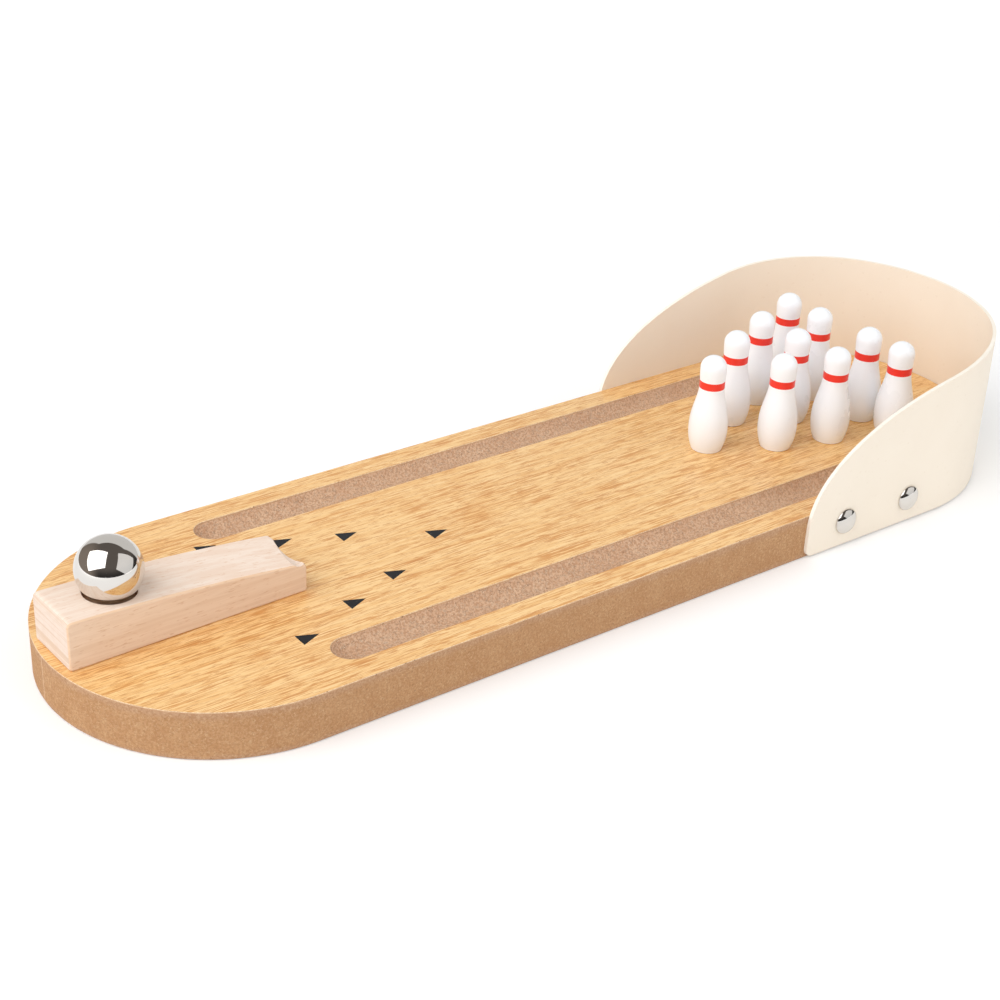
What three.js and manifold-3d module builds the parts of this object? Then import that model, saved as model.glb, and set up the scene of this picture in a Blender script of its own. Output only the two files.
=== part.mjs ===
// A tabletop bowling game: a lane board with two gutters and a bent backstop,
// a wooden launch ramp with its steel ball, and ten loose pins.
//
// X runs across the lane, Y from the player to the pins and Z up. The origin
// is the middle of the underside of the whole game. Lengths are in millimetres
// and angles in degrees. Places along the lane count from the board's front tip.

import * as THREE from 'three';
import { mergeVertices } from 'three/addons/utils/BufferGeometryUtils.js';
import Module from 'manifold-3d';

// Board: a fibreboard core with half-round ends under a thin printed sheet
const boardWidth = 107;
const boardLength = 344;
const coreThickness = 14.5;
const sheetThickness = 0.5;

// Gutters: two coves milled through the sheet into the core
const laneWidth = 66;
const gutterWidth = 12;
const gutterDepth = 4;
const gutterFrontMargin = 66;
const gutterRearMargin = 38;

// Backstop: one thin sheet bent round the board's rear end, shorter on its left side
const wallThickness = 1.2;
const wallHeight = 52.2;
const wallLift = 0.6;
const wallReach = 58.5;
const wallLeftSetback = 2.8;
const wallNoseHeight = 9;
const wallCornerRadius = 2.5;
const wallBendClearance = 0.3;
const wallColumnShare = 2.5;
const rimRun = 112;
const rimEaseShare = 2.3;
const rimRoundShare = 2.2;

// Dome-headed nails, two through each side of the backstop into the core
const nailHeadDiameter = 8.8;
const nailHeadHeight = 2.2;
const nailShankDiameter = 1.6;
const nailShankLength = 9;
const nailTipLength = 1.6;
const nailHeight = 9;
const nailSetback = 16.5;
const nailPitch = 29;
const nailClearance = 0.3;

// Launch ramp: a crowned beech wedge that stands loose on the front of the lane
const rampLength = 74.4;
const rampWidth = 20.5;
const rampHighHeight = 15.1;
const rampLowHeight = 9.1;
const rampCrown = 1;
const rampEndRound = 1.8;
const rampEdgeRound = 0.8;
const rampFootShare = 1.5;
const rampFrontMargin = 2.6;
const rampShift = -1.1;
const rampTurn = 1.6;

// Scoop: the dish in the ramp's low end, cut by a long egg shape that is turned and tipped
const scoopCutterLength = 46;
const scoopCutterWidth = 9;
const scoopCutterHeight = 16;
const scoopRise = 5.2;
const scoopOverhang = 0.8;
const scoopTurn = -18;
const scoopTip = 10.5;

// Ball seat: a flat-bottomed hole drilled square to the ramp's sloping top
const seatSetback = 17.8;
const seatDiameter = 15;
const seatDepth = 3;
const seatClearance = 0.3;
const ballDiameter = 19.05;

// Pins: turned shapes, all alike, standing on the lane
const pinHeight = 33.5;
const pinFootRadius = 4.7;
const pinFootRound = 0.55;
const pinBodyRadius = 6.55;
const pinBodyHeight = 7.9;
const pinNeckRadius = 4.2;
const pinNeckHeight = 23.1;
const pinHeadRadius = 4.4;
const pinHeadHeight = 29.3;
const pinAisle = 4.9;
const pinRowPitch = 20.2;
const headPinSetback = 107;

// How far up each stretch of the pin's outline its curve is pulled
const pinCurveShares = { ankle: 0.25, hip: 0.55, waist: 0.45, throat: 0.65, nape: 0.33, cheek: 0.67 };

// Where the ten pins stand: across in pin pitches, along in row pitches
const pinPlaceShares = [
  [0, 0],
  [0.63, 1.04], [-0.62, 1.03],
  [0.94, 2], [-0.08, 1.98], [-1.06, 1.98],
  [1.4, 3.09], [0.59, 3.07], [-0.61, 2.97], [-1.47, 2.98],
];

// One overrun for every cut
const overrun = 1;

// Facet counts
const endSegments = 48;
const wallColumns = 26;
const gutterSegments = 32;
const nailSegments = 20;
const pinSegments = 20;
const ballSegments = 24;
const curvePoints = 4;

// Worked out from the sizes above
const boardRadius = boardWidth / 2;
const boardThickness = coreThickness + sheetThickness;
const rearCentre = boardLength - boardRadius;
const wallFront = rearCentre - wallReach;
const wallRadius = boardRadius + wallThickness;
const wholeLength = boardLength + wallBendClearance + wallThickness;

const wasm = await Module();
wasm.setup();

// Turns a closed three.js geometry into a solid that can be cut and joined
function solid(geometry) {
  const bare = geometry.clone();
  bare.deleteAttribute('normal');
  bare.deleteAttribute('uv');
  const merged = mergeVertices(bare);
  const corners = merged.index.array;
  const kept = [];
  for (let i = 0; i < corners.length; i += 3) {
    const [a, b, c] = [corners[i], corners[i + 1], corners[i + 2]];
    if (a !== b && b !== c && c !== a) kept.push(a, b, c);
  }
  return new wasm.Manifold(new wasm.Mesh({
    numProp: 3,
    vertProperties: Float32Array.from(merged.attributes.position.array),
    triVerts: Uint32Array.from(kept),
  }));
}

// Turns a solid back into a geometry
function faceted(body) {
  const { vertProperties, triVerts } = body.getMesh();
  const geometry = new THREE.BufferGeometry();
  geometry.setAttribute('position', new THREE.BufferAttribute(vertProperties, 3));
  geometry.setIndex(new THREE.BufferAttribute(triVerts, 1));
  geometry.computeVertexNormals();
  return geometry;
}

function finish(color, roughness, metalness = 0) {
  return new THREE.MeshStandardMaterial({ color, roughness, metalness });
}

function piece(name, body, material) {
  const mesh = new THREE.Mesh(faceted(body), material);
  mesh.name = name;
  return mesh;
}

// A closed solid of revolution about Z from an outline that starts and ends on the axis
function turned(outline, segments) {
  const geometry = new THREE.LatheGeometry(outline, segments);
  geometry.rotateX(Math.PI / 2);
  return solid(geometry);
}

// Lane board

function boardOutline() {
  const outline = new THREE.Shape();
  outline.absarc(0, rearCentre, boardRadius, 0, Math.PI, false);
  outline.absarc(0, boardRadius, boardRadius, Math.PI, 2 * Math.PI, false);
  return outline;
}

function slab(bottom, thickness) {
  const geometry = new THREE.ExtrudeGeometry(boardOutline(), {
    depth: thickness,
    bevelEnabled: false,
    curveSegments: endSegments / 2,
  });
  geometry.translate(0, 0, bottom);
  return solid(geometry);
}

// The round-nosed cutter's sweep that mills one gutter
function gutterCut(side) {
  const radius = ((gutterWidth / 2) ** 2 + gutterDepth ** 2) / (2 * gutterDepth);
  const front = gutterFrontMargin + gutterWidth / 2;
  const rear = boardLength - gutterRearMargin - gutterWidth / 2;
  const sweep = new THREE.CapsuleGeometry(radius, rear - front, gutterSegments / 2, gutterSegments);
  const across = side * (laneWidth + gutterWidth) / 2;
  sweep.translate(across, (front + rear) / 2, boardThickness + radius - gutterDepth);
  return solid(sweep);
}

function withGutters(body) {
  return body.subtract(gutterCut(1)).subtract(gutterCut(-1));
}

// A hole for a nail's shank, from outside the backstop into the core
function nailHole(side, along) {
  const radius = nailShankDiameter / 2 + nailClearance;
  const inner = wallRadius - nailShankLength - nailClearance;
  const outer = wallRadius + overrun;
  const hole = new THREE.CylinderGeometry(radius, radius, outer - inner, nailSegments);
  hole.rotateZ(Math.PI / 2);
  hole.translate(side * (inner + outer) / 2, along, nailHeight);
  return solid(hole);
}

const nailPlaces = [1, -1].flatMap((side) => [0, 1].map((index) => ({
  side,
  along: wallFront + nailSetback + index * nailPitch,
  name: `nail_${side > 0 ? 'right' : 'left'}_${index ? 'rear' : 'front'}`,
})));

function drilled(body) {
  return nailPlaces.reduce((rest, { side, along }) => rest.subtract(nailHole(side, along)), body);
}

// Backstop

// The height of the rim at a distance back from the sheet's front edge
function rimHeight(back) {
  const left = Math.max(0, 1 - back / rimRun);
  const rise = (1 - left ** rimEaseShare) ** (1 / rimRoundShare);
  return wallNoseHeight + (wallHeight - wallNoseHeight) * rise;
}

// The height of the bottom edge, with its front corner rounded
function hemHeight(back) {
  const left = Math.max(0, wallCornerRadius - back);
  return wallLift + wallCornerRadius - Math.sqrt(wallCornerRadius ** 2 - left ** 2);
}

// Upright columns along one straight side of the sheet, from its front edge to the bend
function sideStations(facing, setback) {
  const stations = [];
  for (let i = 0; i < wallColumns; i += 1) {
    const back = (wallReach - setback) * (i / wallColumns) ** wallColumnShare;
    stations.push({
      across: boardRadius * Math.cos(facing),
      along: wallFront + setback + back,
      facing,
      back,
    });
  }
  return stations;
}

// All the columns, from the sheet's right front edge round to its left one
function wallStations() {
  const bend = [];
  const bendStart = rearCentre + wallBendClearance;
  for (let i = 0; i <= endSegments; i += 1) {
    const facing = Math.PI * i / endSegments;
    const setback = facing > Math.PI / 2 ? wallLeftSetback : 0;
    const round = boardRadius * Math.min(facing, Math.PI - facing);
    bend.push({
      across: boardRadius * Math.cos(facing),
      along: bendStart + boardRadius * Math.sin(facing),
      facing,
      back: wallReach - setback + wallBendClearance + round,
    });
  }
  const left = sideStations(Math.PI, wallLeftSetback).reverse();
  return [...sideStations(0, 0), ...bend, ...left];
}

function bentSheet() {
  const points = [];
  for (const { across, along, facing, back } of wallStations()) {
    for (const height of [hemHeight(back), rimHeight(back)]) {
      for (const offset of [0, wallThickness]) {
        points.push(across + offset * Math.cos(facing), along + offset * Math.sin(facing), height);
      }
    }
  }
  // Each column has four corners: hem inside, hem outside, rim inside, rim outside
  const faces = [0, 1, 3, 0, 3, 2];
  const last = points.length / 3 - 4;
  for (let a = 0; a < last; a += 4) {
    const b = a + 4;
    faces.push(a, a + 2, b + 2, a, b + 2, b);
    faces.push(a + 1, b + 1, b + 3, a + 1, b + 3, a + 3);
    faces.push(a, b, b + 1, a, b + 1, a + 1);
    faces.push(a + 2, a + 3, b + 3, a + 2, b + 3, b + 2);
  }
  faces.push(last, last + 3, last + 1, last, last + 2, last + 3);
  const geometry = new THREE.BufferGeometry();
  geometry.setAttribute('position', new THREE.Float32BufferAttribute(points, 3));
  geometry.setIndex(faces);
  return solid(geometry);
}

// Nails

function nailBody() {
  const dome = new THREE.EllipseCurve(0, 0, nailHeadDiameter / 2, nailHeadHeight, 0, Math.PI / 2);
  return turned([
    new THREE.Vector2(0, -nailShankLength),
    new THREE.Vector2(nailShankDiameter / 2, nailTipLength - nailShankLength),
    new THREE.Vector2(nailShankDiameter / 2, 0),
    ...dome.getPoints(curvePoints),
  ], nailSegments);
}

function nail({ name, side, along }, body, material) {
  const mesh = piece(name, body, material);
  mesh.position.set(side * wallRadius, along, nailHeight);
  mesh.rotation.y = side * Math.PI / 2;
  return mesh;
}

// Launch ramp, with its origin under the middle of its high end

// The height of the crowned top at a distance from the high end
function topHeight(along) {
  const share = along / rampLength;
  const crown = 4 * rampCrown * share * (1 - share);
  return rampHighHeight + (rampLowHeight - rampHighHeight) * share + crown;
}

function topTilt(along) {
  const crownFall = 4 * rampCrown * (1 - 2 * along / rampLength);
  return Math.atan2(rampLowHeight - rampHighHeight + crownFall, rampLength);
}

function rampSide() {
  const side = new THREE.Shape();
  const foot = rampEdgeRound * rampFootShare;
  const first = rampEndRound;
  const last = rampLength - rampEndRound;
  const middle = rampLength / 2;
  const topControl = 2 * topHeight(middle) - (topHeight(first) + topHeight(last)) / 2;
  side.moveTo(foot, 0);
  side.lineTo(rampLength - foot, 0);
  side.quadraticCurveTo(rampLength, 0, rampLength, foot);
  side.lineTo(rampLength, rampLowHeight - rampEndRound);
  side.quadraticCurveTo(rampLength, rampLowHeight, last, topHeight(last));
  side.quadraticCurveTo(middle, topControl, first, topHeight(first));
  side.quadraticCurveTo(0, rampHighHeight, 0, rampHighHeight - rampEndRound);
  side.lineTo(0, foot);
  side.quadraticCurveTo(0, 0, foot, 0);
  return side;
}

function wedge() {
  const geometry = new THREE.ExtrudeGeometry(rampSide(), {
    depth: rampWidth - 2 * rampEdgeRound,
    bevelThickness: rampEdgeRound,
    bevelSize: rampEdgeRound,
    bevelOffset: -rampEdgeRound,
    bevelSegments: 2,
    curveSegments: 2 * curvePoints,
  });
  geometry.translate(0, 0, rampEdgeRound - rampWidth / 2);
  const acrossToX = new THREE.Matrix4().makeBasis(
    new THREE.Vector3(0, 1, 0),
    new THREE.Vector3(0, 0, 1),
    new THREE.Vector3(1, 0, 0),
  );
  geometry.applyMatrix4(acrossToX);
  return solid(geometry);
}

// The scoop's cutter, with its middle above and just past the low end
function scoop() {
  const cutter = new THREE.SphereGeometry(1 / 2, 2 * endSegments, endSegments);
  cutter.rotateX(Math.PI / 2);
  cutter.scale(scoopCutterLength, scoopCutterWidth, scoopCutterHeight);
  cutter.rotateY(-THREE.MathUtils.degToRad(scoopTip));
  cutter.rotateZ(THREE.MathUtils.degToRad(scoopTurn));
  cutter.translate(0, rampLength + scoopOverhang, rampLowHeight + scoopRise);
  return solid(cutter);
}

// A group on the sloping top over the middle of the seat, with Z square to the slope
function seatFrame() {
  const frame = new THREE.Group();
  frame.position.set(0, seatSetback, topHeight(seatSetback));
  frame.rotation.x = topTilt(seatSetback);
  frame.updateMatrix();
  return frame;
}

function seatHole() {
  const radius = seatDiameter / 2;
  const hole = new THREE.CylinderGeometry(radius, radius, seatDepth + overrun, gutterSegments);
  hole.rotateX(Math.PI / 2);
  hole.translate(0, 0, (overrun - seatDepth) / 2);
  hole.applyMatrix4(seatFrame().matrix);
  return solid(hole);
}

function ramp(material) {
  return piece('launch_ramp', wedge().subtract(scoop()).subtract(seatHole()), material);
}

// The ball, just clear of the seat's bottom
function ball(material) {
  const radius = ballDiameter / 2;
  const shape = new THREE.SphereGeometry(radius, ballSegments, ballSegments * 2 / 3);
  shape.rotateX(Math.PI / 2);
  const mesh = piece('steel_ball', solid(shape), material);
  mesh.position.z = seatClearance + radius - seatDepth;
  return mesh;
}

// Pins

function pinOutline() {
  const { ankle, hip, waist, throat, nape, cheek } = pinCurveShares;
  const foot = pinFootRadius + pinFootRound;
  const neckRise = pinNeckHeight - pinBodyHeight;
  const headRise = pinHeadHeight - pinNeckHeight;
  const outline = new THREE.Path();
  outline.moveTo(0, 0);
  outline.lineTo(pinFootRadius, 0);
  outline.quadraticCurveTo(foot, 0, foot, pinFootRound);
  outline.bezierCurveTo(
    foot + pinFootRound, pinBodyHeight * ankle,
    pinBodyRadius, pinBodyHeight * hip,
    pinBodyRadius, pinBodyHeight,
  );
  outline.bezierCurveTo(
    pinBodyRadius, pinBodyHeight + neckRise * waist,
    pinNeckRadius, pinBodyHeight + neckRise * throat,
    pinNeckRadius, pinNeckHeight,
  );
  outline.bezierCurveTo(
    pinNeckRadius, pinNeckHeight + headRise * nape,
    pinHeadRadius, pinNeckHeight + headRise * cheek,
    pinHeadRadius, pinHeadHeight,
  );
  const crown = pinHeight - pinHeadHeight;
  const head = new THREE.EllipseCurve(0, pinHeadHeight, pinHeadRadius, crown, 0, Math.PI / 2);
  return [...outline.getPoints(curvePoints), ...head.getPoints(curvePoints + 1).slice(1)];
}

function pins(material) {
  const body = turned(pinOutline(), pinSegments);
  const pitch = 2 * pinBodyRadius + pinAisle;
  const rack = new THREE.Group();
  rack.position.y = boardLength - headPinSetback;
  pinPlaceShares.forEach(([acrossShare, alongShare], index) => {
    const mesh = piece(`pin_${String(index + 1).padStart(2, '0')}`, body, material);
    mesh.position.set(acrossShare * pitch, alongShare * pinRowPitch, 0);
    rack.add(mesh);
  });
  return rack;
}

// Assembly

const fibreboard = finish(0xb58e68, 0.85);
const printedOak = finish(0xe2b26c, 0.5);
const creamSheet = finish(0xf2e6d4, 0.55);
const beech = finish(0xe3c4a6, 0.65);
const steel = finish(0xc9c9cc, 0.12, 1);
const whiteGloss = finish(0xf5f3f1, 0.3);

const game = new THREE.Group();
game.position.y = -wholeLength / 2;
game.add(piece('base_board', drilled(withGutters(slab(0, coreThickness))), fibreboard));
game.add(piece('lane_sheet', withGutters(slab(coreThickness, sheetThickness)), printedOak));
game.add(piece('backstop', drilled(bentSheet()), creamSheet));
const nailShape = nailBody();
nailPlaces.forEach((place) => game.add(nail(place, nailShape, steel)));

const onLane = new THREE.Group();
onLane.position.z = boardThickness;
const launcher = new THREE.Group();
launcher.position.set(rampShift, rampFrontMargin, 0);
launcher.rotation.z = THREE.MathUtils.degToRad(rampTurn);
const seat = seatFrame();
seat.add(ball(steel));
launcher.add(ramp(beech), seat);
onLane.add(launcher, pins(whiteGloss));
game.add(onLane);

export default game;
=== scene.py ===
import math

import bmesh
import bpy
from mathutils import Matrix, Vector
from mathutils.geometry import interpolate_bezier


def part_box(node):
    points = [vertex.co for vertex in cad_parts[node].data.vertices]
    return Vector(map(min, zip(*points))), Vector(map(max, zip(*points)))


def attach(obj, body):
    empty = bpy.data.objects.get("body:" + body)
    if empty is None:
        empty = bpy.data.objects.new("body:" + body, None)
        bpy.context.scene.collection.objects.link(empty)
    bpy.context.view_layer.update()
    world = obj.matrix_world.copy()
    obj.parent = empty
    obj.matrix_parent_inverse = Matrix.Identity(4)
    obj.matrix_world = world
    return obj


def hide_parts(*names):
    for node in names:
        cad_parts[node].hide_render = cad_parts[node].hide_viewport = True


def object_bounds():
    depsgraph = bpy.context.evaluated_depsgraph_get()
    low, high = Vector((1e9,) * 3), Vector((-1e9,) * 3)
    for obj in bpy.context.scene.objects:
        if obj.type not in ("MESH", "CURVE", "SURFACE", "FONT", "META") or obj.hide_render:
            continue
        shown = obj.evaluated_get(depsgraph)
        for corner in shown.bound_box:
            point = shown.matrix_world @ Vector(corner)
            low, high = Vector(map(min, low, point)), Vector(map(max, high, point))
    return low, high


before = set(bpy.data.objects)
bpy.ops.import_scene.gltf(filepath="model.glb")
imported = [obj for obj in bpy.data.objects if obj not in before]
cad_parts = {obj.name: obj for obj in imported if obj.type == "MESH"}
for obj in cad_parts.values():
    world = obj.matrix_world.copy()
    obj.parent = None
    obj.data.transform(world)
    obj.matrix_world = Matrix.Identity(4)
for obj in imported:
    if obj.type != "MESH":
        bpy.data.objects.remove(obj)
cad_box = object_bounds()


# Lane board core. A slab of raw fibreboard with half-round ends, sawn to shape. Two gutters
# are milled into its top with a round-nosed cutter, and nail holes are drilled in its sides.
board_segments, gutter_segments, hole_segments = 192, 64, 24
hole_width, hole_overrun, core_hole_depth = 0.0022, 0.001, 0.0086
nail_names = [f"nail_{side}_{end}" for side in ("right", "left") for end in ("front", "rear")]

# Points closer than the weld gap become one, and an edge shorter than a sliver goes
weld_gap, sliver = 1e-6, 1e-7
crease_angle = math.radians(30)


def skinned(shape, rings, front, rear, segments, across=0):
    """Skins a round-ended form through (radius, height) rings. Each ring is a circle whose
    rear half is drawn back along the lane. Returns the edges of the first and last ring."""
    half_step = math.pi / segments
    middle = (front + rear) / 2
    radius, height = rings[0]
    place = Matrix.Translation((across, front, height)) @ Matrix.Rotation(half_step, 4, "Z")
    ring = bmesh.ops.create_circle(
        shape, segments=segments, radius=radius / math.cos(half_step), matrix=place)["verts"]
    bmesh.ops.translate(shape, vec=(0, rear - front, 0), verts=[v for v in ring if v.co.y > front])
    first = last = list(dict.fromkeys(edge for vert in ring for edge in vert.link_edges))
    for new_radius, new_height in rings[1:]:
        drawn = bmesh.ops.extrude_edge_only(shape, edges=last)["geom"]
        ring = [part for part in drawn if isinstance(part, bmesh.types.BMVert)]
        moved = set(ring)
        last = [part for part in drawn
                if isinstance(part, bmesh.types.BMEdge) and moved.issuperset(part.verts)]
        share = new_radius / radius
        for centre, verts in ((front, [v for v in ring if v.co.y < middle]),
                              (rear, [v for v in ring if v.co.y >= middle])):
            bmesh.ops.scale(shape, vec=(share, share, 1), verts=verts,
                            space=Matrix.Translation((-across, -centre, 0)))
        bmesh.ops.translate(shape, vec=(0, 0, new_height - height), verts=ring)
        radius, height = new_radius, new_height
    return first, last


def cut_away(shape, tool):
    """Cuts one closed shape out of another and returns what is left."""
    parts = []
    for source in (shape, tool):
        bmesh.ops.recalc_face_normals(source, faces=source.faces)
        part = bpy.data.objects.new("blank", bpy.data.meshes.new("blank"))
        source.to_mesh(part.data)
        source.free()
        bpy.context.scene.collection.objects.link(part)
        parts.append(part)
    cut = parts[0].modifiers.new("cut", "BOOLEAN")
    cut.operation, cut.solver, cut.object = "DIFFERENCE", "EXACT", parts[1]
    left = bmesh.new()
    left.from_object(parts[0], bpy.context.evaluated_depsgraph_get())
    for part in parts:
        bpy.data.objects.remove(part)
    return left


def set_down(name, shape, finishes):
    """Makes a piece of a finished shape: smooth, with a sharp edge wherever it is creased."""
    bmesh.ops.remove_doubles(shape, verts=shape.verts, dist=weld_gap)
    bmesh.ops.dissolve_degenerate(shape, edges=shape.edges, dist=sliver)
    bmesh.ops.recalc_face_normals(shape, faces=shape.faces)
    for face in shape.faces:
        face.smooth = True
    for edge in shape.edges:
        edge.smooth = edge.calc_face_angle(math.pi) < crease_angle
    mesh = bpy.data.meshes.new(name)
    shape.to_mesh(mesh)
    shape.free()
    for finish in finishes:
        mesh.materials.append(finish)
    piece = bpy.data.objects.new(name, mesh)
    bpy.context.scene.collection.objects.link(piece)
    evened = piece.modifiers.new("even shading", "WEIGHTED_NORMAL")
    evened.keep_sharp = True
    return piece


def nail_holes(side_face, depth):
    """Four closed plugs for the nails' holes. The side face is that far from the middle."""
    plugs = bmesh.new()
    for name in nail_names:
        low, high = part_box(name)
        side = 1 if low.x > 0 else -1
        middle = (low + high) / 2
        middle.x = side * (side_face + hole_overrun - depth / 2)
        bmesh.ops.create_cone(
            plugs, cap_ends=True, segments=hole_segments, depth=depth,
            radius1=hole_width / 2, radius2=hole_width / 2,
            matrix=Matrix.Translation(middle) @ Matrix.Rotation(math.pi / 2, 4, "Y"))
    return plugs


def tint(red, green, blue):
    """A paint-card colour, 0 to 255, as the shader wants it."""
    return tuple((c / 255 / 12.92) if c < 10 else ((c / 255 + 0.055) / 1.055) ** 2.4
                 for c in (red, green, blue)) + (1,)


def add(tree, kind, inputs=(), **settings):
    """Adds a shader node. An input is a value or another node's output."""
    node = tree.nodes.new(kind)
    for name, value in settings.items():
        setattr(node, name, value)
    for name, value in dict(inputs).items():
        if isinstance(value, bpy.types.NodeSocket):
            tree.links.new(value, node.inputs[name])
        else:
            node.inputs[name].default_value = value
    return node


def sums(tree, operation, first, second=0.0):
    """Reckons with one or two values."""
    return add(tree, "ShaderNodeMath", {0: first, 1: second}, operation=operation).outputs[0]


def ease(tree, value, start, end, low=0.0, high=1.0):
    """Carries a value from one range to another and holds it at the ends."""
    return add(tree, "ShaderNodeMapRange", {0: value, 1: start, 2: end, 3: low, 4: high},
               interpolation_type="SMOOTHSTEP").outputs[0]


def own_place(tree):
    """The place on the piece, in metres."""
    return add(tree, "ShaderNodeTexCoord").outputs["Object"]


def split(tree, place):
    """A place's X, Y and Z."""
    return add(tree, "ShaderNodeSeparateXYZ", {0: place}).outputs


def noise(tree, place, scale, detail, **more):
    """Soft random patches, from 0 to 1."""
    return add(tree, "ShaderNodeTexNoise",
               {"Vector": place, "Scale": scale, "Detail": detail, **more}).outputs[0]


def stain(tree, mask, ground, colour):
    """Lays one colour over another through a mask."""
    return add(tree, "ShaderNodeMix", {0: mask, 6: ground, 7: colour},
               data_type="RGBA").outputs[2]


def new_finish(name, settings=()):
    """A material with fixed settings on its shader. Returns it, its tree and the shader."""
    finish = bpy.data.materials.new(name)
    finish.use_nodes = True
    shader = finish.node_tree.nodes["Principled BSDF"]
    for socket, value in dict(settings).items():
        shader.inputs[socket].default_value = value
    return finish, finish.node_tree, shader


def coat(tree, shader, ground, coats):
    """Colours a finish: a ground with coats over it, each a mask, a strength and a colour."""
    for mask, strength, colour in coats:
        if strength != 1:
            mask = sums(tree, "MULTIPLY", mask, strength)
        ground = stain(tree, mask, ground, colour)
    tree.links.new(ground, shader.inputs["Base Color"])


def emboss(tree, shader, height, strength, depth):
    """Raises the surface where the height is great and sinks it where it is small."""
    rise = add(tree, "ShaderNodeBump", {"Strength": strength, "Distance": depth, "Height": height})
    tree.links.new(rise.outputs[0], shader.inputs["Normal"])


def new_effect(name, inputs, outputs):
    """A node group with named number inputs and outputs. Returns its tree and both ends."""
    tree = bpy.data.node_groups.new(name, "ShaderNodeTree")
    for socket, value in inputs.items():
        made = tree.interface.new_socket(socket, in_out="INPUT", socket_type="NodeSocketFloat")
        made.default_value = value
    for socket in outputs:
        tree.interface.new_socket(socket, in_out="OUTPUT", socket_type="NodeSocketFloat")
    return tree, tree.nodes.new("NodeGroupInput").outputs, tree.nodes.new("NodeGroupOutput").inputs


def effect(tree, name, **values):
    """Places a node group with its own values and returns its outputs."""
    node = add(tree, "ShaderNodeGroup", node_tree=bpy.data.node_groups[name])
    for socket, value in values.items():
        node.inputs[socket].default_value = value
    return node.outputs


# Ground fibres pressed into board: short pale curls in patches, a few dark bark specks, fine
# grain and slow clouds, all scaled by the size of one fibre
patch_share, speck_share, grain_share, cloud_share = 0.9, 0.55, 1.3, 0.12
fibres, given, result = new_effect("ground fibres", {"Size": 0.001},
                                   ("Curl", "Speck", "Grain", "Cloud"))
spot = own_place(fibres)
per_metre = sums(fibres, "DIVIDE", 1.0, given["Size"])
patch_scale, speck_scale, grain_scale, cloud_scale = (
    sums(fibres, "MULTIPLY", per_metre, share)
    for share in (patch_share, speck_share, grain_share, cloud_share))
curls = noise(fibres, spot, per_metre, 3.0, Distortion=1.6)
off_curl = sums(fibres, "ABSOLUTE", sums(fibres, "SUBTRACT", curls, 0.5))
patch = ease(fibres, noise(fibres, spot, patch_scale, 1.0), 0.45, 0.62)
curl = sums(fibres, "MULTIPLY", ease(fibres, off_curl, 0.045, 0.0), patch)
grit = add(fibres, "ShaderNodeTexVoronoi", {"Vector": spot, "Scale": speck_scale}).outputs
chance = add(fibres, "ShaderNodeSeparateColor", {0: grit["Color"]}).outputs[0]
speck = sums(fibres, "MULTIPLY", ease(fibres, grit["Distance"], 0.26, 0.12),
             ease(fibres, chance, 0.8, 0.84))
grain = ease(fibres, noise(fibres, spot, grain_scale, 2.0), 0.42, 0.6)
cloud = ease(fibres, noise(fibres, spot, cloud_scale, 5.0, Roughness=0.62), 0.3, 0.7)
for name, value in (("Curl", curl), ("Speck", speck), ("Grain", grain), ("Cloud", cloud)):
    fibres.links.new(value, result[name])

# The sawn edge: warm brown, with denser and greyer skins at the top and bottom, and one fine
# pale seam at the front, where the saw cut starts and ends
top_skin, foot_skin, skin_wander = (0.0118, 0.014), (0.0018, 0.0006), 0.0012
seam_across, seam_fade, seam_reach = -0.0032, (0.00028, 0.0001), (-0.12, -0.14)
sawn_board, tree, shader = new_finish(
    "sawn fibreboard", {"Roughness": 0.88, "Specular IOR Level": 0.25})
fibre = effect(tree, "ground fibres", Size=0.0008)
place = split(tree, own_place(tree))
wander = sums(tree, "MULTIPLY", sums(tree, "SUBTRACT", fibre["Cloud"], 0.5), skin_wander)
height = sums(tree, "ADD", place["Z"], wander)
skin = sums(tree, "MAXIMUM", ease(tree, height, *top_skin), ease(tree, height, *foot_skin))
off_seam = sums(tree, "ABSOLUTE", sums(tree, "SUBTRACT", place["X"], seam_across))
seam = sums(tree, "MULTIPLY", ease(tree, off_seam, *seam_fade), ease(tree, place["Y"], *seam_reach))
coat(tree, shader, tint(184, 139, 98), (
    (fibre["Cloud"], 1, tint(194, 151, 110)),
    (skin, 0.55, tint(190, 154, 127)),
    (fibre["Grain"], 0.55, tint(166, 120, 80)),
    (fibre["Curl"], 0.65, tint(230, 198, 160)),
    (fibre["Speck"], 0.4, tint(138, 96, 64)),
    (seam, 0.6, tint(232, 206, 178))))
emboss(tree, shader, sums(tree, "SUBTRACT", fibre["Curl"], fibre["Speck"]), 0.5, 0.0001)

# The milled gutter: paler and pinker, with the fibres torn up by the cutter
milled_board, tree, shader = new_finish(
    "milled fibreboard", {"Roughness": 0.95, "Specular IOR Level": 0.15})
fibre = effect(tree, "ground fibres", Size=0.00085)
coat(tree, shader, tint(209, 171, 140), (
    (fibre["Cloud"], 1, tint(219, 184, 153)),
    (fibre["Grain"], 0.65, tint(178, 134, 102)),
    (fibre["Curl"], 0.85, tint(240, 216, 190)),
    (fibre["Speck"], 0.35, tint(146, 104, 76))))
emboss(tree, shader, sums(tree, "SUBTRACT", fibre["Curl"], fibre["Speck"]), 0.8, 0.00012)

low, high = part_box("base_board")
board_radius = (high.x - low.x) / 2
board_front, board_rear = low.y + board_radius, high.y - board_radius
core_foot, core_top = low.z, high.z
board_foot_ease = 0.0003
ease_middle = 0.3

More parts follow.
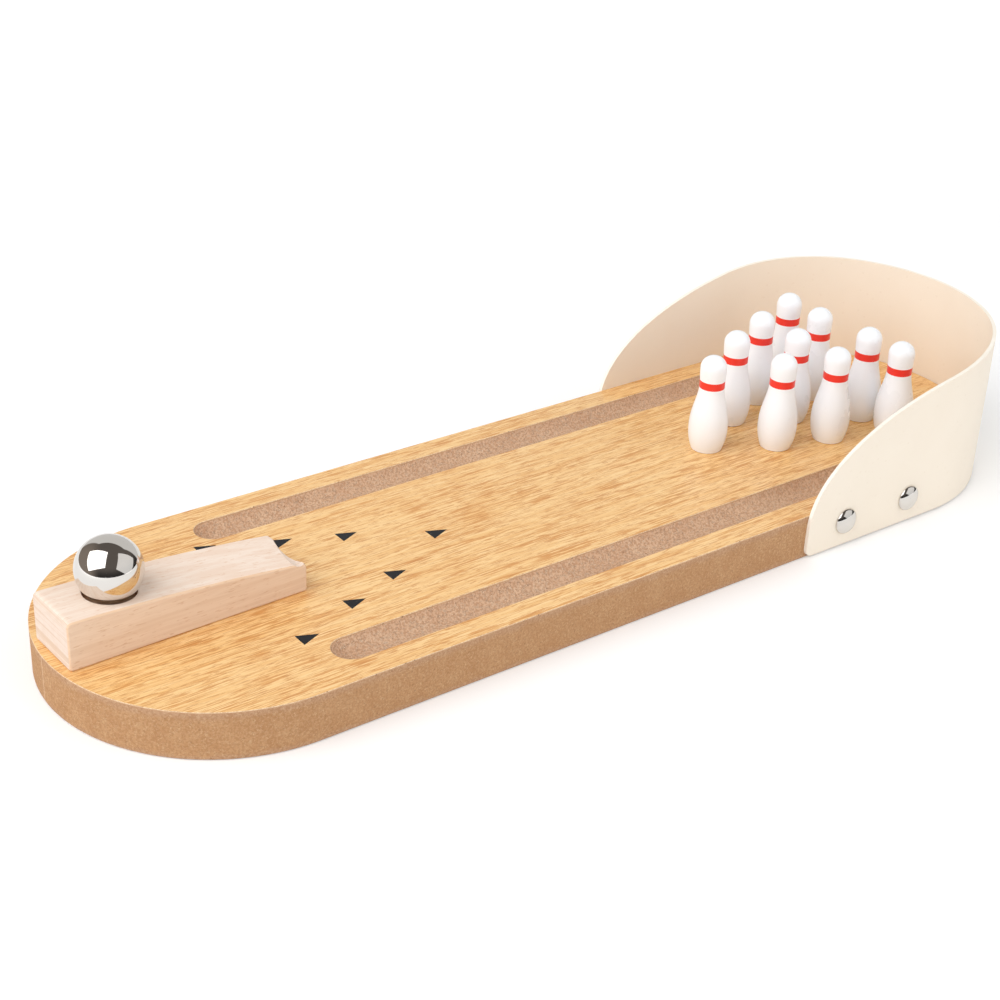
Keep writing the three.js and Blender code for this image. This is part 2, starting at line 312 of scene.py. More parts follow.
# Round-nosed gutters, 12 mm wide and 4 mm deep, measured at the printed sheet's top. The
# margins are how far the middles of their round ends lie from the board's front and rear.
sheet_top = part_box("lane_sheet")[1].z
gutter_width, gutter_depth, gutter_across = 0.012, 0.004, 0.039
gutter_front_margin, gutter_rear_margin = 0.072, 0.044
gutter_front, gutter_rear = low.y + gutter_front_margin, high.y - gutter_rear_margin
cutter_radius = ((gutter_width / 2) ** 2 + gutter_depth ** 2) / (2 * gutter_depth)
dish_steps = 14


def gutter_half_width(height):
    """The gutter's half width at a height above the table."""
    above = sheet_top - gutter_depth + cutter_radius - height
    return math.sqrt(max(0, cutter_radius ** 2 - above ** 2))


core = bmesh.new()
foot, top = skinned(core, [
    (board_radius - board_foot_ease, core_foot),
    (board_radius - board_foot_ease * ease_middle, core_foot + board_foot_ease * ease_middle),
    (board_radius, core_foot + board_foot_ease),
    (board_radius, core_top),
], board_front, board_rear, board_segments)
bmesh.ops.edgeloop_fill(core, edges=foot)
dish_half = math.asin(gutter_half_width(core_top) / cutter_radius)
turns = [dish_half * (1 - step / dish_steps) for step in range(dish_steps + 1)]
dish = [(cutter_radius * math.sin(turn),
         sheet_top - gutter_depth + cutter_radius * (1 - math.cos(turn))) for turn in turns]
sawn_faces = len(core.faces)
rims = list(top)
for side in (1, -1):
    rims += skinned(core, dish, gutter_front, gutter_rear, gutter_segments,
                    side * gutter_across)[0]
milled_cut = 1
core.faces.ensure_lookup_table()
for face in core.faces[sawn_faces:]:
    face.material_index = milled_cut
bmesh.ops.triangle_fill(core, edges=rims, use_beauty=True)
core = cut_away(core, nail_holes(board_radius, core_hole_depth))
lane_core = set_down("lane_core", core, [sawn_board, milled_board])
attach(lane_core, "board")
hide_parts("base_board")


# Printed lane sheet. A half-millimetre sheet with an oak print under satin varnish, bonded
# to the core and cut through by the gutters, so that a fine pale line shows round every cut.

# Wood grain: streaks stretched along Y, with their width, length and depth in metres. They
# wander sideways in slow bends, by up to about half of Wander times their width.
bends_per_metre = 30.0
streaks, given, result = new_effect(
    "long streaks",
    {"Width": 0.001, "Length": 0.02, "Depth": 0.001, "Wander": 0.5, "From": 0.45, "To": 0.65},
    ("Mask",))
spot = own_place(streaks)
shares = add(streaks, "ShaderNodeCombineXYZ", {
    axis: sums(streaks, "DIVIDE", 1.0, given[size])
    for axis, size in (("X", "Width"), ("Y", "Length"), ("Z", "Depth"))})
drawn = add(streaks, "ShaderNodeVectorMath", {0: spot, 1: shares.outputs[0]},
            operation="MULTIPLY").outputs[0]
bend = sums(streaks, "SUBTRACT", noise(streaks, spot, bends_per_metre, 1.0), 0.5)
bend = sums(streaks, "MULTIPLY", bend, given["Wander"])
bend = add(streaks, "ShaderNodeCombineXYZ", {"X": bend, "Z": bend}).outputs[0]
drawn = add(streaks, "ShaderNodeVectorMath", {0: drawn, 1: bend}, operation="ADD").outputs[0]
lines = noise(streaks, drawn, 1.0, 2.5, Roughness=0.55)
streaks.links.new(ease(streaks, lines, given["From"], given["To"]), result["Mask"])


def streak(tree, **sizes):
    """The mask of long streaks of these sizes."""
    return effect(tree, "long streaks", **sizes)["Mask"]


def dull(tree, shader, value, low, high, full=1.0):
    """Makes the surface rougher as a value rises from nothing to full."""
    tree.links.new(ease(tree, value, 0.0, full, low, high), shader.inputs["Roughness"])


printed_oak, tree, shader = new_finish("printed oak", {"Specular IOR Level": 0.5})
band = streak(tree, Width=0.0018, Length=0.06, Wander=0.8, From=0.42, To=0.6)
bundle = streak(tree, Width=0.004, Length=0.045, Wander=0.6, From=0.4, To=0.56)
dark = streak(tree, Width=0.0004, Length=0.012, Wander=3.0, From=0.5, To=0.56)
pale = streak(tree, Width=0.0005, Length=0.016, Wander=2.5, From=0.52, To=0.6)
pore = streak(tree, Width=0.00028, Length=0.005, Wander=4.0, From=0.56, To=0.61)
dark = sums(tree, "MULTIPLY", dark, ease(tree, bundle, 0.0, 1.0, 0.25, 1.0))
coat(tree, shader, tint(247, 205, 143), (
    (band, 1, tint(241, 193, 127)),
    (pale, 0.6, tint(251, 215, 158)),
    (dark, 0.9, tint(213, 147, 76)),
    (pore, 0.75, tint(200, 132, 64))))
emboss(tree, shader, sums(tree, "ADD", dark, pore), 0.12, 0.00006)
dull(tree, shader, sums(tree, "ADD", band, dark), 0.28, 0.36, full=2.0)

# The sheet's own cut edge: board brown below a thin broken line of pale resin, with dark specks
resin_foot, resin_top = sheet_top - 0.0003, sheet_top - 0.00015
cut_edge, tree, shader = new_finish("cut sheet edge")
fibre = effect(tree, "ground fibres", Size=0.0008)
height = split(tree, own_place(tree))["Z"]
resin = sums(tree, "MULTIPLY", ease(tree, height, resin_foot, resin_top),
             ease(tree, fibre["Grain"], 0.2, 0.7, 0.35, 0.9))
# The dark specks are bark specks, darkened to stand for small chips as painted shade in them
coat(tree, shader, tint(192, 148, 110), (
    (fibre["Cloud"], 1, tint(210, 170, 132)),
    (fibre["Grain"], 0.4, tint(170, 124, 86)),
    (resin, 1, tint(244, 218, 180)),
    (fibre["Speck"], 0.8, tint(116, 80, 54))))
dull(tree, shader, fibre["Cloud"], 0.6, 0.8)

low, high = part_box("lane_sheet")
sheet_ease = 0.00008
eased_top = high.z - sheet_ease
sheet = bmesh.new()
bottom, top = skinned(sheet, [
    (board_radius, low.z), (board_radius, eased_top), (board_radius - sheet_ease, high.z),
], board_front, board_rear, board_segments)
hole_rings = [(gutter_half_width(height), height)
              for height in (low.z, (low.z + high.z) / 2, eased_top)]
hole_rings.append((gutter_width / 2 + sheet_ease / 2, high.z))
for side in (1, -1):
    under, over = skinned(sheet, hole_rings, gutter_front, gutter_rear, gutter_segments,
                          side * gutter_across)
    bottom, top = bottom + under, top + over
cut_face = 1
for face in sheet.faces:
    face.material_index = cut_face
bmesh.ops.triangle_fill(sheet, edges=bottom, use_beauty=True)
bmesh.ops.triangle_fill(sheet, edges=top, use_beauty=True)

# Shallow triangles stamped in its top, for the aiming arrows. The foil in them lies a hair
# below the lane's surface.
arrow_width, arrow_length = 0.0054, 0.0064
stamp_depth, foil_drop = 0.00006, 0.00001
arrow_middle = -0.0009
arrow_places = ((0, -0.0475), (0.0134, -0.0715), (0.0205, -0.0901), (0.0292, -0.111))


def stamps(bottom, top):
    """Seven closed triangles that point to the pins, between two heights. Each is drawn from
    one in a circle of radius 1, which is 1.5 long and the root of 3 wide."""
    shapes = bmesh.new()
    size = Matrix.Diagonal((arrow_width / math.sqrt(3), arrow_length / 1.5, top - bottom, 1))
    for across, along in arrow_places:
        for side in ((1, -1) if across else (1,)):
            spot = Vector((arrow_middle + side * across, along + arrow_length / 3,
                           (bottom + top) / 2))
            bmesh.ops.create_cone(shapes, cap_ends=True, segments=3, radius1=1, radius2=1,
                                  depth=1, matrix=Matrix.Translation(spot) @ size)
    return shapes


sheet = cut_away(sheet, stamps(sheet_top - stamp_depth, sheet_top + stamp_depth))
lane_print = set_down("lane_print", sheet, [printed_oak, cut_edge])
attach(lane_print, "board")
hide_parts("lane_sheet")


# Aiming arrows. Seven small triangles of black foil, stamped into the lane in a V, just below
# its surface, with a few rubbed spots. They point to the pins, and the ramp slides over them.
arrow_black, tree, shader = new_finish("arrow black", {"Specular IOR Level": 0.15})
fibre = effect(tree, "ground fibres", Size=0.0016)
rub = streak(tree, Width=0.0009, Length=0.0022, Wander=1.0, From=0.62, To=0.74)
coat(tree, shader, tint(32, 33, 36), (
    (fibre["Cloud"], 1, tint(42, 43, 46)),
    (rub, 0.5, tint(120, 116, 108))))
dull(tree, shader, rub, 0.5, 0.65)
lane_arrows = set_down("lane_arrows", stamps(sheet_top - stamp_depth, sheet_top - foil_drop),
                       [arrow_black])
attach(lane_arrows, "board")


# Backstop. One strip of cream sheet, 1.2 mm thick, cut with a swept rim and bent hot round
# the rear of the board. Its edges are eased and painted paler than its faces. The strip
# was nailed on a little off centre, so its left side stops short of its right one.
cream_sheet, tree, shader = new_finish("cream sheet", {"Specular IOR Level": 0.35})
fibre = effect(tree, "ground fibres", Size=0.0012)
haze = effect(tree, "ground fibres", Size=0.006)
coat(tree, shader, tint(242, 230, 213), (
    (haze["Cloud"], 1, tint(245, 234, 218)),
    (fibre["Speck"], 0.12, tint(214, 194, 168))))
emboss(tree, shader, fibre["Cloud"], 0.15, 0.00005)
dull(tree, shader, haze["Cloud"], 0.42, 0.52)

# The eased edges' finish: the cream, painted paler
paler_edge_finish, tree, shader = new_finish("pale sheet edge")
fibre = effect(tree, "ground fibres", Size=0.001)
coat(tree, shader, tint(248, 240, 226), ((fibre["Cloud"], 1, tint(251, 245, 234)),))
dull(tree, shader, fibre["Cloud"], 0.5, 0.65)

low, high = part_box("backstop")
wall_thickness = high.x - board_radius
wall_front, bend_start = low.y, high.y - wall_thickness - board_radius
straight_run = bend_start - wall_front
wall_foot, nose_height, rim_height = low.z, 0.009, high.z
rim_run, rim_swell, rim_shoulder = 0.112, 2.3, 2.2
corner_round, left_setback = 0.0025, 0.0028
wall_edge_ease, wall_ease_segments = 0.0003, 3
bend_steps, columns, crowding = 40, 34, 2.4
wall_hole_depth = 0.005
fold, square_on = math.radians(60), 0.9


def hem(back):
    """The bottom edge's height, with its front corner rounded."""
    left = max(0, corner_round - back)
    return wall_foot + corner_round - math.sqrt(corner_round ** 2 - left ** 2)


def rim(back):
    """The rim's height at a distance back from the sheet's front edge."""
    rise = (1 - max(0, 1 - back / rim_run) ** rim_swell) ** (1 / rim_shoulder)
    return nose_height + (rim_height - nose_height) * rise


def back_from_nose(point):
    """How far along the strip a point lies from the front edge of its own side."""
    run = straight_run - (left_setback if point.x < 0 else 0)
    if point.y < bend_start:
        return max(0, run + point.y - bend_start)
    return run + board_radius * math.atan2(point.y - bend_start, abs(point.x))


# The strip's inner face is drawn between heights 0 and 1, which stand for its hem and its rim
# until it is trimmed. Its columns crowd together at the front, where the rim is steep.
wall = bmesh.new()
ends = [wall.verts.new((board_radius, bend_start, height)) for height in (0, 1)]
front_edge = wall.edges.new(ends)
bmesh.ops.spin(wall, geom=ends + [front_edge], cent=(0, bend_start, 0), axis=(0, 0, 1),
               angle=math.pi / 2, steps=bend_steps)
for column in range(columns, 0, -1):
    here = straight_run * (((column - 1) / columns) ** crowding)
    drawn = bmesh.ops.extrude_edge_only(wall, edges=[front_edge])["geom"]
    verts = [part for part in drawn if isinstance(part, bmesh.types.BMVert)]
    for vert in verts:
        vert.co.y = wall_front + here
    front_edge = next(part for part in drawn if isinstance(part, bmesh.types.BMEdge)
                      and set(part.verts) == set(verts))
bmesh.ops.mirror(wall, geom=wall.verts[:] + wall.edges[:] + wall.faces[:], axis="X",
                 merge_dist=weld_gap)
bmesh.ops.remove_doubles(wall, verts=wall.verts, dist=weld_gap)
bmesh.ops.scale(wall, vec=(1, 1 - left_setback / straight_run, 1),
                space=Matrix.Translation((0, -bend_start, 0)),
                verts=[v for v in wall.verts if v.co.x < 0 and v.co.y < bend_start])
for vert in wall.verts:
    back = back_from_nose(vert.co)
    vert.co.z = rim(back) if vert.co.z > 0.5 else hem(back)
bmesh.ops.recalc_face_normals(wall, faces=wall.faces)
rearmost = min(wall.faces, key=lambda face: abs(face.calc_center_median().x))
if rearmost.normal.y > 0:
    bmesh.ops.reverse_faces(wall, faces=wall.faces)
bmesh.ops.solidify(wall, geom=wall.faces[:], thickness=wall_thickness)
bmesh.ops.recalc_face_normals(wall, faces=wall.faces)
creases = [edge for edge in wall.edges if edge.calc_face_angle(0) > fold]
bmesh.ops.bevel(wall, geom=creases, offset=wall_edge_ease, segments=wall_ease_segments,
                profile=0.5, affect="EDGES", material=-1, clamp_overlap=True)
cream_face, edge_face = range(2)
for face in wall.faces:
    spot = face.calc_center_median()
    outward = Vector((spot.x, max(0, spot.y - bend_start), 0)).normalized()
    face.material_index = cream_face if abs(face.normal.dot(outward)) > square_on else edge_face
wall = cut_away(wall, nail_holes(board_radius + wall_thickness, wall_hole_depth))
bent_backstop = set_down("bent_backstop", wall, [cream_sheet, paler_edge_finish])
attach(bent_backstop, "board")
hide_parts("backstop")


# Nails. Four steel upholstery nails with polished domed heads, 8.8 mm across, driven through
# the backstop's ends into the edge of the board.
polished_steel, tree, shader = new_finish("polished steel", {"Metallic": 1.0})
haze = effect(tree, "ground fibres", Size=0.004)
scratch = streak(tree, Width=0.0001, Length=0.006, Depth=0.0001, Wander=9.0, From=0.6, To=0.72)
coat(tree, shader, tint(222, 218, 212), ((haze["Cloud"], 1, tint(229, 225, 220)),))
gloss = sums(tree, "ADD", ease(tree, haze["Cloud"], 0.0, 1.0, 0.03, 0.06),
             sums(tree, "MULTIPLY", scratch, 0.06))
tree.links.new(gloss, shader.inputs["Roughness"])
emboss(tree, shader, scratch, 0.03, 0.00001)


def turned(shape, outline, steps, place):
    """Turns an open outline of (radius, height) points about Z, as on a lathe, and sets it
    in its place."""
    verts = [shape.verts.new((radius, 0, height)) for radius, height in outline]
    edges = [shape.edges.new(pair) for pair in zip(verts, verts[1:])]
    bmesh.ops.spin(shape, geom=verts + edges, cent=(0, 0, 0), axis=(0, 0, 1),
                   angle=math.tau, steps=steps, use_merge=True)
    bmesh.ops.remove_doubles(shape, verts=shape.verts, dist=sliver)
    bmesh.ops.transform(shape, matrix=place, verts=shape.verts)


dome_radius, dome_height, dome_lip = 0.0044, 0.0022, 0.0003
shank_radius, shank_length, shank_tip = 0.0008, 0.009, 0.0016
dome_steps, nail_segments = 16, 48
dome = interpolate_bezier(
    Vector((dome_radius, 0, dome_lip)), Vector((dome_radius * 0.93, 0, dome_height * 0.62)),
    Vector((dome_radius * 0.5, 0, dome_height)), Vector((0, 0, dome_height)), dome_steps)
nail_outline = [(0, -shank_length), (shank_radius, shank_tip - shank_length),
                (shank_radius, 0), (dome_radius - dome_lip, 0)]
nail_outline += [(point.x, point.z) for point in dome]
for name in nail_names:
    low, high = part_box(name)
    side = 1 if low.x > 0 else -1
    seat = Vector((side * (board_radius + wall_thickness), (low.y + high.y) / 2,
                   (low.z + high.z) / 2))
    nail = bmesh.new()
    turned(nail, nail_outline, nail_segments,
           Matrix.Translation(seat) @ Matrix.Rotation(side * math.pi / 2, 4, "Y"))
    driven_nail = set_down(name.replace("nail", "driven_nail"), nail, [polished_steel])
    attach(driven_nail, "board")
    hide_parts(name)


# Launch ramp. A block of bare beech, sanded, with a crowned top, a ball seat drilled square to
# its slope and a scoop cut in its low end. It lies loose on the front of the lane.

def beech(name, pale, warm, fleck, rings=0.0, rays=0.6):
    """A finish for one face of the block, with flecks and rings, in colours that carry painted
    light and shade.
    """
    finish, tree, shader = new_finish(name, {"Specular IOR Level": 0.3})
    figure = streak(tree, Width=0.0022, Length=0.035, Depth=0.0016, Wander=0.8, From=0.4, To=0.64)
    fine = streak(tree, Width=0.0006, Length=0.018, Depth=0.0006, Wander=1.0, From=0.44, To=0.6)
    ray = streak(tree, Width=0.0005, Length=0.0036, Depth=0.0005, Wander=0.8, From=0.61, To=0.67)
    ring = streak(tree, Width=0.06, Length=0.3, Depth=0.0012, Wander=0.5, From=0.5, To=0.6)
    coat(tree, shader, pale, (
        (figure, 1, warm), (fine, 0.5, warm), (ring, rings, fleck), (ray, rays, fleck)))
    emboss(tree, shader, sums(tree, "SUBTRACT", figure, ray), 0.15, 0.00005)
    dull(tree, shader, ray, 0.62, 0.75)
    return finish


# The top's beech is painted lighter, as painted light, and the sides' darker, as painted shade. The
# seat's walls are darker still: painted shade in the hole. The end, with its rings, and the eased
# edges have colours of their own.
beech_faces_lit_and_shaded = [
    beech("beech top", tint(246, 227, 211), tint(240, 215, 195), tint(226, 190, 160)),
    beech("beech side", tint(233, 206, 181), tint(226, 196, 169), tint(210, 170, 136)),
    beech("beech end", tint(231, 212, 198), tint(227, 206, 190), tint(213, 182, 152), 0.6, 0.0),
    beech("beech edge", tint(238, 205, 174), tint(233, 198, 165), tint(218, 178, 142)),
    beech("beech seat painted shade", tint(226, 190, 158), tint(214, 176, 143), tint(188, 148, 114)),
]
shaded_side_cut, end_cut, edge_cut, shaded_seat_cut = range(1, 5)

ramp_length, ramp_width = 0.0744, 0.0205
high_end, low_end, crown = 0.0151, 0.0091, 0.001
end_round, edge_round = 0.0018, 0.0008
foot_round = edge_round * 1.5
top_steps, round_steps, foot_steps, edge_segments = 24, 10, 8, 4
ramp_across, ramp_setback, ramp_turn = -0.0011, 0.0026, math.radians(1.6)
ramp_place = (Matrix.Translation((ramp_across, cad_box[0].y + ramp_setback, sheet_top))
              @ Matrix.Rotation(ramp_turn, 4, "Z"))


def ramp_top(along):
    """The crowned top's height above the lane, at a distance from the high end."""
    share = along / ramp_length
    return high_end + (low_end - high_end) * share + 4 * crown * share * (1 - share)


def ramp_tilt(along):
    """The top's slope there, as an angle."""
    return math.atan((low_end - high_end + 4 * crown * (1 - 2 * along / ramp_length)) / ramp_length)


def rounded(corner, before, after, steps):
    """A corner of the side outline, rounded between two points on its sides."""
    knots = [Vector((0, *point)) for point in (before, corner, after)]
    return interpolate_bezier(knots[0], knots[0].lerp(knots[1], 2 / 3),
                              knots[2].lerp(knots[1], 2 / 3), knots[2], steps)


outline = rounded((ramp_length, 0), (ramp_length - foot_round, 0), (ramp_length, foot_round),
                  foot_steps)
outline += rounded((ramp_length, low_end), (ramp_length, low_end - end_round),
                   (ramp_length - end_round, ramp_top(ramp_length - end_round)), round_steps)
for step in range(1, top_steps):
    along = (ramp_length - end_round) + (2 * end_round - ramp_length) * step / top_steps
    outline.append(Vector((0, along, ramp_top(along))))
outline += rounded((0, high_end), (end_round, ramp_top(end_round)), (0, high_end - end_round),
                   round_steps)
outline += rounded((0, 0), (0, foot_round), (foot_round, 0), foot_steps)
block = bmesh.new()
side_face = block.faces.new([block.verts.new(point) for point in outline])
bmesh.ops.translate(block, vec=(-ramp_width / 2, 0, 0), verts=block.verts)
across = bmesh.ops.extrude_face_region(block, geom=[side_face], use_keep_orig=True)["geom"]
bmesh.ops.translate(block, vec=(ramp_width, 0, 0),
                    verts=[v for v in across if isinstance(v, bmesh.types.BMVert)])
bmesh.ops.recalc_face_normals(block, faces=block.faces)
sides = [face for face in block.faces if abs(face.normal.x) > square_on]
bmesh.ops.bevel(block, geom=list(dict.fromkeys(edge for face in sides for edge in face.edges)),
                offset=edge_round, segments=edge_segments, profile=0.5, affect="EDGES",
                material=-1, clamp_overlap=False)

# How squarely a face has to look sideways or endways, to be an edge, a side or an end
edge_lean, side_lean, end_lean = 0.2, 0.95, 0.6
# The sides take the beech painted darker as shade, the top the one painted lighter as light
for face in block.faces:
    lean = abs(face.normal.x)
    along = face.calc_center_median().y
    if lean > edge_lean:
        face.material_index = shaded_side_cut if lean > side_lean else edge_cut
    elif abs(face.normal.y) > end_lean and not end_round < along < ramp_length - end_round:
        face.material_index = end_cut

# The ball seat: 15 mm across and 3 mm deep, with its rim just broken by sandpaper
seat_setback, seat_radius, seat_depth, seat_ease = 0.0178, 0.0075, 0.003, 0.0003
seat_overrun, cutter_top, seat_segments = 0.0001, 0.002, 64
seat_place = (Matrix.Translation((0, seat_setback, ramp_top(seat_setback)))
              @ Matrix.Rotation(ramp_tilt(seat_setback), 4, "X"))
seat_outline = [(0, -seat_depth), (seat_radius, -seat_depth), (seat_radius, -seat_ease),
                (seat_radius + seat_ease * ease_middle, -seat_ease * ease_middle),
                (seat_radius + seat_ease, seat_overrun), (seat_radius + seat_ease, cutter_top),
                (0, cutter_top)]
seat_cutter = bmesh.new()
turned(seat_cutter, seat_outline, seat_segments, seat_place)
# The seat's walls take the darkest beech, painted shade in the hole
for face in seat_cutter.faces:
    face.material_index = shaded_seat_cut
block = cut_away(block, seat_cutter)

# The scoop: a dish gouged out of the low end with a long round cutter, turned and tipped
gouge_size, gouge_segments, gouge_rings = (0.023, 0.0045, 0.008), 160, 96
gouge_past_end, gouge_rise = 0.0008, 0.0052
gouge_turn, gouge_tip = math.radians(-18), math.radians(-10.5)
gouge_place = (Matrix.Translation((0, ramp_length + gouge_past_end, low_end + gouge_rise))
               @ Matrix.Rotation(gouge_turn, 4, "Z") @ Matrix.Rotation(gouge_tip, 4, "Y"))
gouge = bmesh.new()
bmesh.ops.create_uvsphere(gouge, u_segments=gouge_segments, v_segments=gouge_rings, radius=1,
                          matrix=gouge_place @ Matrix.Diagonal((*gouge_size, 1)))
block = cut_away(block, gouge)
bmesh.ops.transform(block, matrix=ramp_place, verts=block.verts)
beech_ramp = set_down("beech_ramp", block, beech_faces_lit_and_shaded)
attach(beech_ramp, "ramp")
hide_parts("launch_ramp")


# Ball. A bearing ball of bright hard steel, 19.05 mm across, lapped and polished. It lies
# loose in the ramp's seat and mirrors the studio, the ramp and the lane.
ball_segments, ball_rings = 128, 64
low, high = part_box("steel_ball")
ball = bmesh.new()
bmesh.ops.create_uvsphere(ball, u_segments=ball_segments, v_segments=ball_rings,
                          radius=(high.z - low.z) / 2,
                          matrix=Matrix.Translation((low + high) / 2))
bearing_ball = set_down("bearing_ball", ball, [polished_steel])
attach(bearing_ball, "ball")
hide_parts("steel_ball")


# Pins. Ten turned hardwood pins, 33.5 mm high, dipped in white gloss and banded with red paint
# round the neck. They stand loose behind the arrows, a little out of line, as set by hand.
white_gloss, tree, shader = new_finish(
    "white gloss", {"Coat Weight": 0.25, "Coat Roughness": 0.15})
haze = effect(tree, "ground fibres", Size=0.007)
fibre = effect(tree, "ground fibres", Size=0.0012)
coat(tree, shader, tint(245, 248, 252), (
    (haze["Cloud"], 1, tint(248, 250, 253)),
    (fibre["Speck"], 0.05, tint(190, 180, 172))))
emboss(tree, shader, haze["Cloud"], 0.12, 0.0001)
dull(tree, shader, haze["Cloud"], 0.24, 0.34)

band_red, tree, shader = new_finish("band red")
haze = effect(tree, "ground fibres", Size=0.003)
brushed = streak(tree, Width=0.004, Length=0.004, Depth=0.0003, Wander=0.6, From=0.4, To=0.7)
coat(tree, shader, tint(240, 50, 36), (
    (brushed, 0.5, tint(228, 38, 30)),
    (haze["Cloud"], 0.3, tint(250, 72, 50))))
dull(tree, shader, haze["Cloud"], 0.3, 0.42)

foot_radius, foot_ease = 0.0047, 0.00055
body_radius, body_height = 0.00655, 0.0079
neck_radius, neck_height = 0.0042, 0.0231
head_radius, head_height, pin_height = 0.0044, 0.0293, 0.0335
band_foot, band_top = 0.0225, 0.0251
foot_wide = foot_radius + foot_ease
neck_rise, head_rise = neck_height - body_height, head_height - neck_height

# The pulls on the outline, as shares of each stretch's height. The last one rounds a quarter.
ankle, belly = 0.25, 0.55
shoulder, throat = 0.45, 0.65
collar, cheek = 0.33, 0.67
quarter = 0.5523
stretch_steps, pin_segments = 14, 64


def swept(*points):
    """A smooth stretch of the outline through a start, two pulls and an end."""
    knots = [Vector((radius, 0, height)) for radius, height in points]
    return [(knot.x, knot.z) for knot in interpolate_bezier(*knots, stretch_steps)[1:]]


pin_outline = [(0, 0), (foot_radius, 0)]
pin_outline += swept((foot_radius, 0), (foot_radius + foot_ease * quarter, 0),
                     (foot_wide, foot_ease * (1 - quarter)), (foot_wide, foot_ease))
pin_outline += swept((foot_wide, foot_ease), (foot_wide + foot_ease, body_height * ankle),
                     (body_radius, body_height * belly), (body_radius, body_height))
pin_outline += swept((body_radius, body_height), (body_radius, body_height + neck_rise * shoulder),
                     (neck_radius, body_height + neck_rise * throat), (neck_radius, neck_height))
pin_outline += swept((neck_radius, neck_height), (neck_radius, neck_height + head_rise * collar),
                     (head_radius, neck_height + head_rise * cheek), (head_radius, head_height))
pin_outline += swept((head_radius, head_height),
                     (head_radius, head_height + (pin_height - head_height) * quarter),
                     (head_radius * quarter, pin_height), (0, pin_height))
white_face, red_face = range(2)
for number in range(1, 11):
    low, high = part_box(f"pin_{number:02d}")
    pin = bmesh.new()
    turned(pin, pin_outline, pin_segments,
           Matrix.Translation(((low.x + high.x) / 2, (low.y + high.y) / 2, low.z)))
    for height in (band_foot, band_top):
        bmesh.ops.bisect_plane(pin, geom=pin.verts[:] + pin.edges[:] + pin.faces[:], dist=sliver,
                               plane_co=(0, 0, low.z + height), plane_no=(0, 0, 1))
    for face in pin.faces:
        height = face.calc_center_median().z - low.z
        face.material_index = red_face if band_foot < height < band_top else white_face
    turned_pin = set_down(f"turned_pin_{number:02d}", pin, [white_gloss, band_red])
    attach(turned_pin, f"pin_{number:02d}")
    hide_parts(f"pin_{number:02d}")


# Studio floor. A wide white sweep that takes the game's shadow. To the camera it shows as
# plain white, also far off where the lamps don't reach, and it glows less in the steel.
sweep_radius, sweep_drop, sweep_segments = 6, 0.0002, 64
glow_run, glow_levels, share_in_steel = (0.35, 1.3), (0.14, 0.9), 0.3
plain_white = (1, 1, 1, 1)


def seen_plainly(tree, path):
    """1 for what the camera sees, also through glass."""
    return sums(tree, "MAXIMUM", path["Is Camera Ray"], path["Is Transmission Ray"])


sweep_white, tree, shader = new_finish("white sweep")
tree.nodes.remove(shader)
matt = add(tree, "ShaderNodeBsdfDiffuse", {"Color": tint(243, 243, 243)})
path = add(tree, "ShaderNodeLightPath").outputs
seen = sums(tree, "MAXIMUM", sums(tree, "MULTIPLY", path["Is Glossy Ray"], share_in_steel),
            seen_plainly(tree, path))
from_game = add(tree, "ShaderNodeVectorMath", {0: own_place(tree)},
                operation="LENGTH").outputs["Value"]
glow = add(tree, "ShaderNodeEmission", {
    "Color": plain_white,
    "Strength": sums(tree, "MULTIPLY", seen, ease(tree, from_game, *glow_run, *glow_levels))})
both = add(tree, "ShaderNodeAddShader", {0: matt.outputs[0], 1: glow.outputs[0]})
tree.links.new(both.outputs[0], tree.nodes["Material Output"].inputs["Surface"])
sweep = bmesh.new()
bmesh.ops.create_circle(sweep, cap_ends=True, segments=sweep_segments, radius=sweep_radius,
                        matrix=Matrix.Translation((0, 0, -sweep_drop)))
floor = set_down("floor", sweep, [sweep_white])


# Studio light. A pale even room, a large softbox over the player's end and a paler one to
# the right of the pins. What steel sees is a dark room with a grey backdrop behind the game.
behind_game, beside_game = (-0.804, 0.595, 0), (0.595, 0.804, 0)
backdrop_middle, backdrop_side, backdrop_top = 0.22, (1.16, 1.02), (1.62, 1.5)
dark_room, room_above = (0.035, 0.032, 0.031, 1), (0.12, 0.105, 0.095, 1)
room_left, grey_backdrop = (0.25, 0.21, 0.18, 1), (0.7, 0.69, 0.68, 1)
room_level, ceiling_level, least_reach = 0.95, 0.42, 0.02
softbox_width, softbox_depth, softbox_roll = 1.9, 1.8, math.radians(38)

room = bpy.data.worlds.new("studio")
bpy.context.scene.world = room
room.use_nodes = True
tree = room.node_tree
tree.nodes.clear()
toward = add(tree, "ShaderNodeTexCoord").outputs["Generated"]
up = split(tree, toward)["Z"]
behind, beside = (
    add(tree, "ShaderNodeVectorMath", {0: toward, 1: way}, operation="DOT_PRODUCT").outputs["Value"]
    for way in (behind_game, beside_game))
reach = sums(tree, "MAXIMUM", behind, least_reach)
height = sums(tree, "DIVIDE", up, reach)
off_centre = sums(tree, "SUBTRACT", sums(tree, "DIVIDE", beside, reach), backdrop_middle)
off_centre = sums(tree, "ABSOLUTE", off_centre)
backdrop = sums(tree, "MULTIPLY", ease(tree, off_centre, *backdrop_side),
                ease(tree, height, *backdrop_top))
dark = stain(tree, ease(tree, up, 0.05, 0.55), dark_room, room_above)
dark = stain(tree, ease(tree, beside, -0.3, -0.9), dark, room_left)
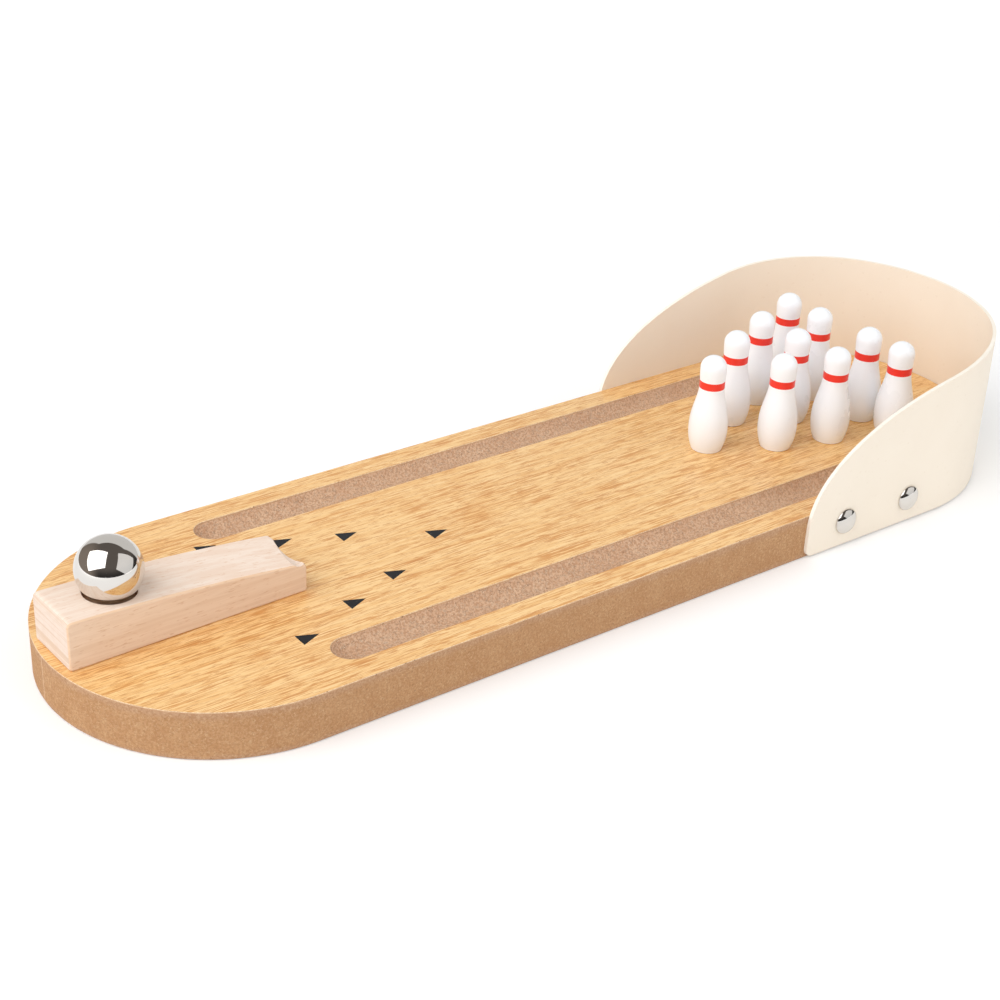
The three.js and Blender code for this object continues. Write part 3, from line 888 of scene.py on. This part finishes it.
steel_sees, camera_sees, lights = (
    add(tree, "ShaderNodeBackground", {"Color": colour, "Strength": strength}).outputs[0]
    for colour, strength in (
        (stain(tree, backdrop, dark, grey_backdrop), 1.0), (plain_white, 1.0),
        (plain_white, ease(tree, up, 0.0, 1.0, room_level, ceiling_level))))
path = add(tree, "ShaderNodeLightPath").outputs
mixed = add(tree, "ShaderNodeMixShader", {0: path["Is Glossy Ray"], 1: lights, 2: steel_sees})
mixed = add(tree, "ShaderNodeMixShader", {
    0: seen_plainly(tree, path), 1: mixed.outputs[0], 2: camera_sees})
tree.links.new(mixed.outputs[0], add(tree, "ShaderNodeOutputWorld").inputs["Surface"])

lit_spot = Vector((0, 0, 0.02))
for name, place, power in (("main_softbox", Vector((0.04, -1.19, 1.24)), 23.0),
                           ("side_softbox", Vector((1.2, 0.92, 0.78)), 7.8)):
    lamp = bpy.data.lights.new(name, "AREA")
    lamp.shape, lamp.energy = "RECTANGLE", power
    lamp.size, lamp.size_y = softbox_width, softbox_depth
    softbox = bpy.data.objects.new(name, lamp)
    softbox.matrix_world = Matrix.Translation(place) @ (
        (lit_spot - place).to_track_quat("-Z", "Y").to_matrix().to_4x4()
        @ Matrix.Rotation(softbox_roll, 4, "Z"))
    bpy.context.scene.collection.objects.link(softbox)


# Camera. It stands to the right of the ramp and above it, as in the photograph, turned round
# from the lane, dipped towards the game and rolled a little. Its frame has no shift.
camera_place = Vector((0.40223, -0.33143, 0.29417))
camera_turn, camera_dip, camera_roll = 52.42, 28.38, 2.43
camera = bpy.data.cameras.new("camera")
camera.lens = 67.1
camera.clip_start, camera.clip_end = 0.01, 20
viewer = bpy.data.objects.new("camera", camera)
viewer.matrix_world = (Matrix.Translation(camera_place)
                       @ Matrix.Rotation(math.radians(camera_turn), 4, "Z")
                       @ Matrix.Rotation(math.radians(90 - camera_dip), 4, "X")
                       @ Matrix.Rotation(math.radians(camera_roll), 4, "Z"))
bpy.context.scene.collection.objects.link(viewer)
bpy.context.scene.camera = viewer

bpy.context.scene.view_settings.view_transform = "Standard"
